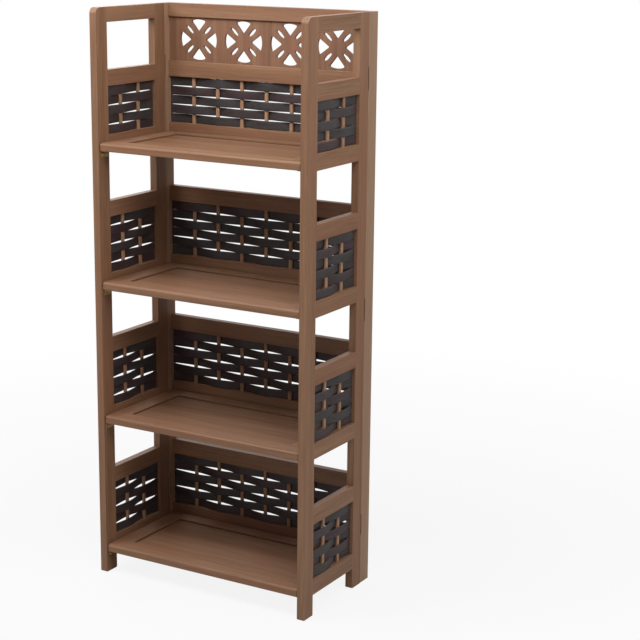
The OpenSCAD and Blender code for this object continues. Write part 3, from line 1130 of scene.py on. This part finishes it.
@dataclass(frozen=True)
class Lamp:
    """A square soft lamp that faces the unit."""

    name: str
    place: tuple[float, float, float]
    size: float
    watts: float
    aim: tuple[float, float, float] = (0.0, 0.0, 0.7)

    def hang(self) -> bpy.types.Object:
        """Hangs the lamp.

        Returns:
            The lamp.
        """
        data = bpy.data.lights.new(self.name, "AREA")
        data.size = self.size
        data.energy = self.watts
        lamp = bpy.data.objects.new(self.name, data)
        lamp.location = self.place
        lamp.rotation_euler = (Vector(self.aim) - Vector(self.place)).to_track_quat("-Z", "Y").to_euler()
        bpy.context.scene.collection.objects.link(lamp)
        return lamp


@dataclass
class Studio:
    """The floor, the light and the camera.

    Attributes:
        lamps: the soft lamps.
        room_light: strength of the white surround as light on the unit.
        floor_size: the floor's side.
        floor_gap: how far the floor lies under the feet, so that their faces don't coincide.
        floor_colour: its colour.
        floor_whiteness: share of plain white that the camera sees near the unit.
        white_from: distance from the unit where the floor starts to turn plain white.
        white_to: distance where it is plain white.
        camera_place: the camera's place.
        yaw: its turn about the upright, away from the back.
        pitch: how far it looks down.
        roll: its tilt.
        focal_px: its focal length in pixels of the picture.
        picture_px: the picture's side in pixels.
        sensor_mm: the sensor's width.
    """

    lamps: tuple[Lamp, ...] = (
        Lamp("left_key", place=(-1.1, -1.2, 2.4), size=1.0, watts=23.0),
        Lamp("right_key", place=(1.1, -1.2, 2.4), size=1.0, watts=18.0),
        Lamp("top_lamp", place=(0.0, -0.7, 2.4), size=1.0, watts=12.0),
        Lamp("right_lamp", place=(2.3, -0.1, 1.9), size=1.4, watts=18.0),
        Lamp("rear_lamp", place=(-2.0, 1.6, 2.3), size=1.6, watts=18.0),
    )
    room_light: float = 0.09
    floor_size: float = 40.0
    floor_gap: float = 0.5 * MM
    floor_colour: Colour = (225, 225, 225)
    floor_whiteness: float = 0.88
    white_from: float = 0.6
    white_to: float = 2.4
    camera_place: tuple[float, float, float] = (2.1970, -3.3475, 1.6415)
    yaw: float = math.radians(30.239)
    pitch: float = math.radians(13.660)
    roll: float = math.radians(0.625)
    focal_px: float = 1674.0
    picture_px: float = 640.0
    sensor_mm: float = 36.0

    def build(self) -> None:
        """Builds the whole studio."""
        self._floor()
        self._world()
        for lamp in self.lamps:
            lamp.hang()
        self._camera()

    def _floor(self) -> None:
        """Lays a pale floor just under the feet, which the camera sees as white with the unit's soft shadow."""
        mesh = bmesh.new()
        bmesh.ops.create_grid(mesh, x_segments=1, y_segments=1, size=self.floor_size / 2)
        bmesh.ops.translate(mesh, verts=mesh.verts, vec=(0.0, 0.0, -self.floor_gap))
        data = bpy.data.meshes.new("floor")
        mesh.to_mesh(data)
        mesh.free()
        graph = Graph("floor_white")
        graph.feed(graph.shader, base_color=linear(self.floor_colour), roughness=0.9, specular_ior_level=0.1)
        glow = graph.feed(graph.node("ShaderNodeEmission"), color=(1.0, 1.0, 1.0, 1.0), strength=1.0)
        place = graph.node("ShaderNodeTexCoord").outputs["Object"]
        away = graph.node("ShaderNodeVectorMath", operation="LENGTH")
        graph.tree.links.new(place, away.inputs[0])
        distance = away.outputs["Value"]
        white = graph.ranged(distance, self.white_from, self.white_to, self.floor_whiteness, 1.0)
        path = graph.node("ShaderNodeLightPath")
        share = graph.maths("MULTIPLY", path.outputs["Is Camera Ray"], white)
        blend = graph.node("ShaderNodeMixShader")
        graph.feed(blend, in_0=share, in_1=graph.shader.outputs[0], in_2=glow.outputs[0])
        graph.tree.links.new(blend.outputs[0], graph.tree.nodes["Material Output"].inputs["Surface"])
        data.materials.append(graph.material)
        floor = bpy.data.objects.new("floor", data)
        bpy.context.scene.collection.objects.link(floor)

    def _world(self) -> None:
        """Sets an even white surround, full for the camera and for gloss and dim as light."""
        world = bpy.data.worlds.new("white_room")
        bpy.context.scene.world = world
        world.use_nodes = True
        tree = world.node_tree
        back = tree.nodes["Background"]
        back.inputs["Color"].default_value = (1.0, 1.0, 1.0, 1.0)
        path = tree.nodes.new("ShaderNodeLightPath")
        seen = tree.nodes.new("ShaderNodeMath")
        seen.operation = "MAXIMUM"
        tree.links.new(path.outputs["Is Camera Ray"], seen.inputs[0])
        tree.links.new(path.outputs["Is Glossy Ray"], seen.inputs[1])
        level = tree.nodes.new("ShaderNodeMapRange")
        level.inputs["To Min"].default_value = self.room_light
        level.inputs["To Max"].default_value = 1.0
        tree.links.new(seen.outputs[0], level.inputs["Value"])
        tree.links.new(level.outputs["Result"], back.inputs["Strength"])

    def _camera(self) -> None:
        """Sets the camera at the photograph's viewing angle."""
        level = Vector((math.cos(self.yaw), math.sin(self.yaw), 0.0))
        forward = Vector((-math.sin(self.yaw), math.cos(self.yaw), 0.0))
        ahead = forward * math.cos(self.pitch) - Vector((0.0, 0.0, math.sin(self.pitch)))
        above = level.cross(ahead)
        right = level * math.cos(self.roll) + above * math.sin(self.roll)
        top = above * math.cos(self.roll) - level * math.sin(self.roll)
        turn = Matrix((right, top, -ahead)).transposed()
        data = bpy.data.cameras.new("camera")
        data.sensor_width = self.sensor_mm
        data.lens = self.focal_px / self.picture_px * self.sensor_mm
        data.clip_end = 100.0
        camera = bpy.data.objects.new("camera", data)
        camera.matrix_world = Matrix.Translation(Vector(self.camera_place)) @ turn.to_4x4()
        bpy.context.scene.collection.objects.link(camera)
        bpy.context.scene.camera = camera


def main() -> None:
    """Builds the folding shelf unit and its studio."""
    logging.basicConfig(level=logging.INFO, format="%(message)s")
    packed = Packed()
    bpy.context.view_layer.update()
    Studio().build()
    shop = Workshop(packed)
    for hand in Hand:
        SideFrame(hand).build(packed, shop)
    BackFrame().build(packed, shop)
    for number in range(1, SHELVES + 1):
        Shelf(number).build(packed, shop)
    Fittings().build(packed, shop)
    bpy.context.scene.view_settings.view_transform = "Standard"


if __name__ == "__main__":
    main()
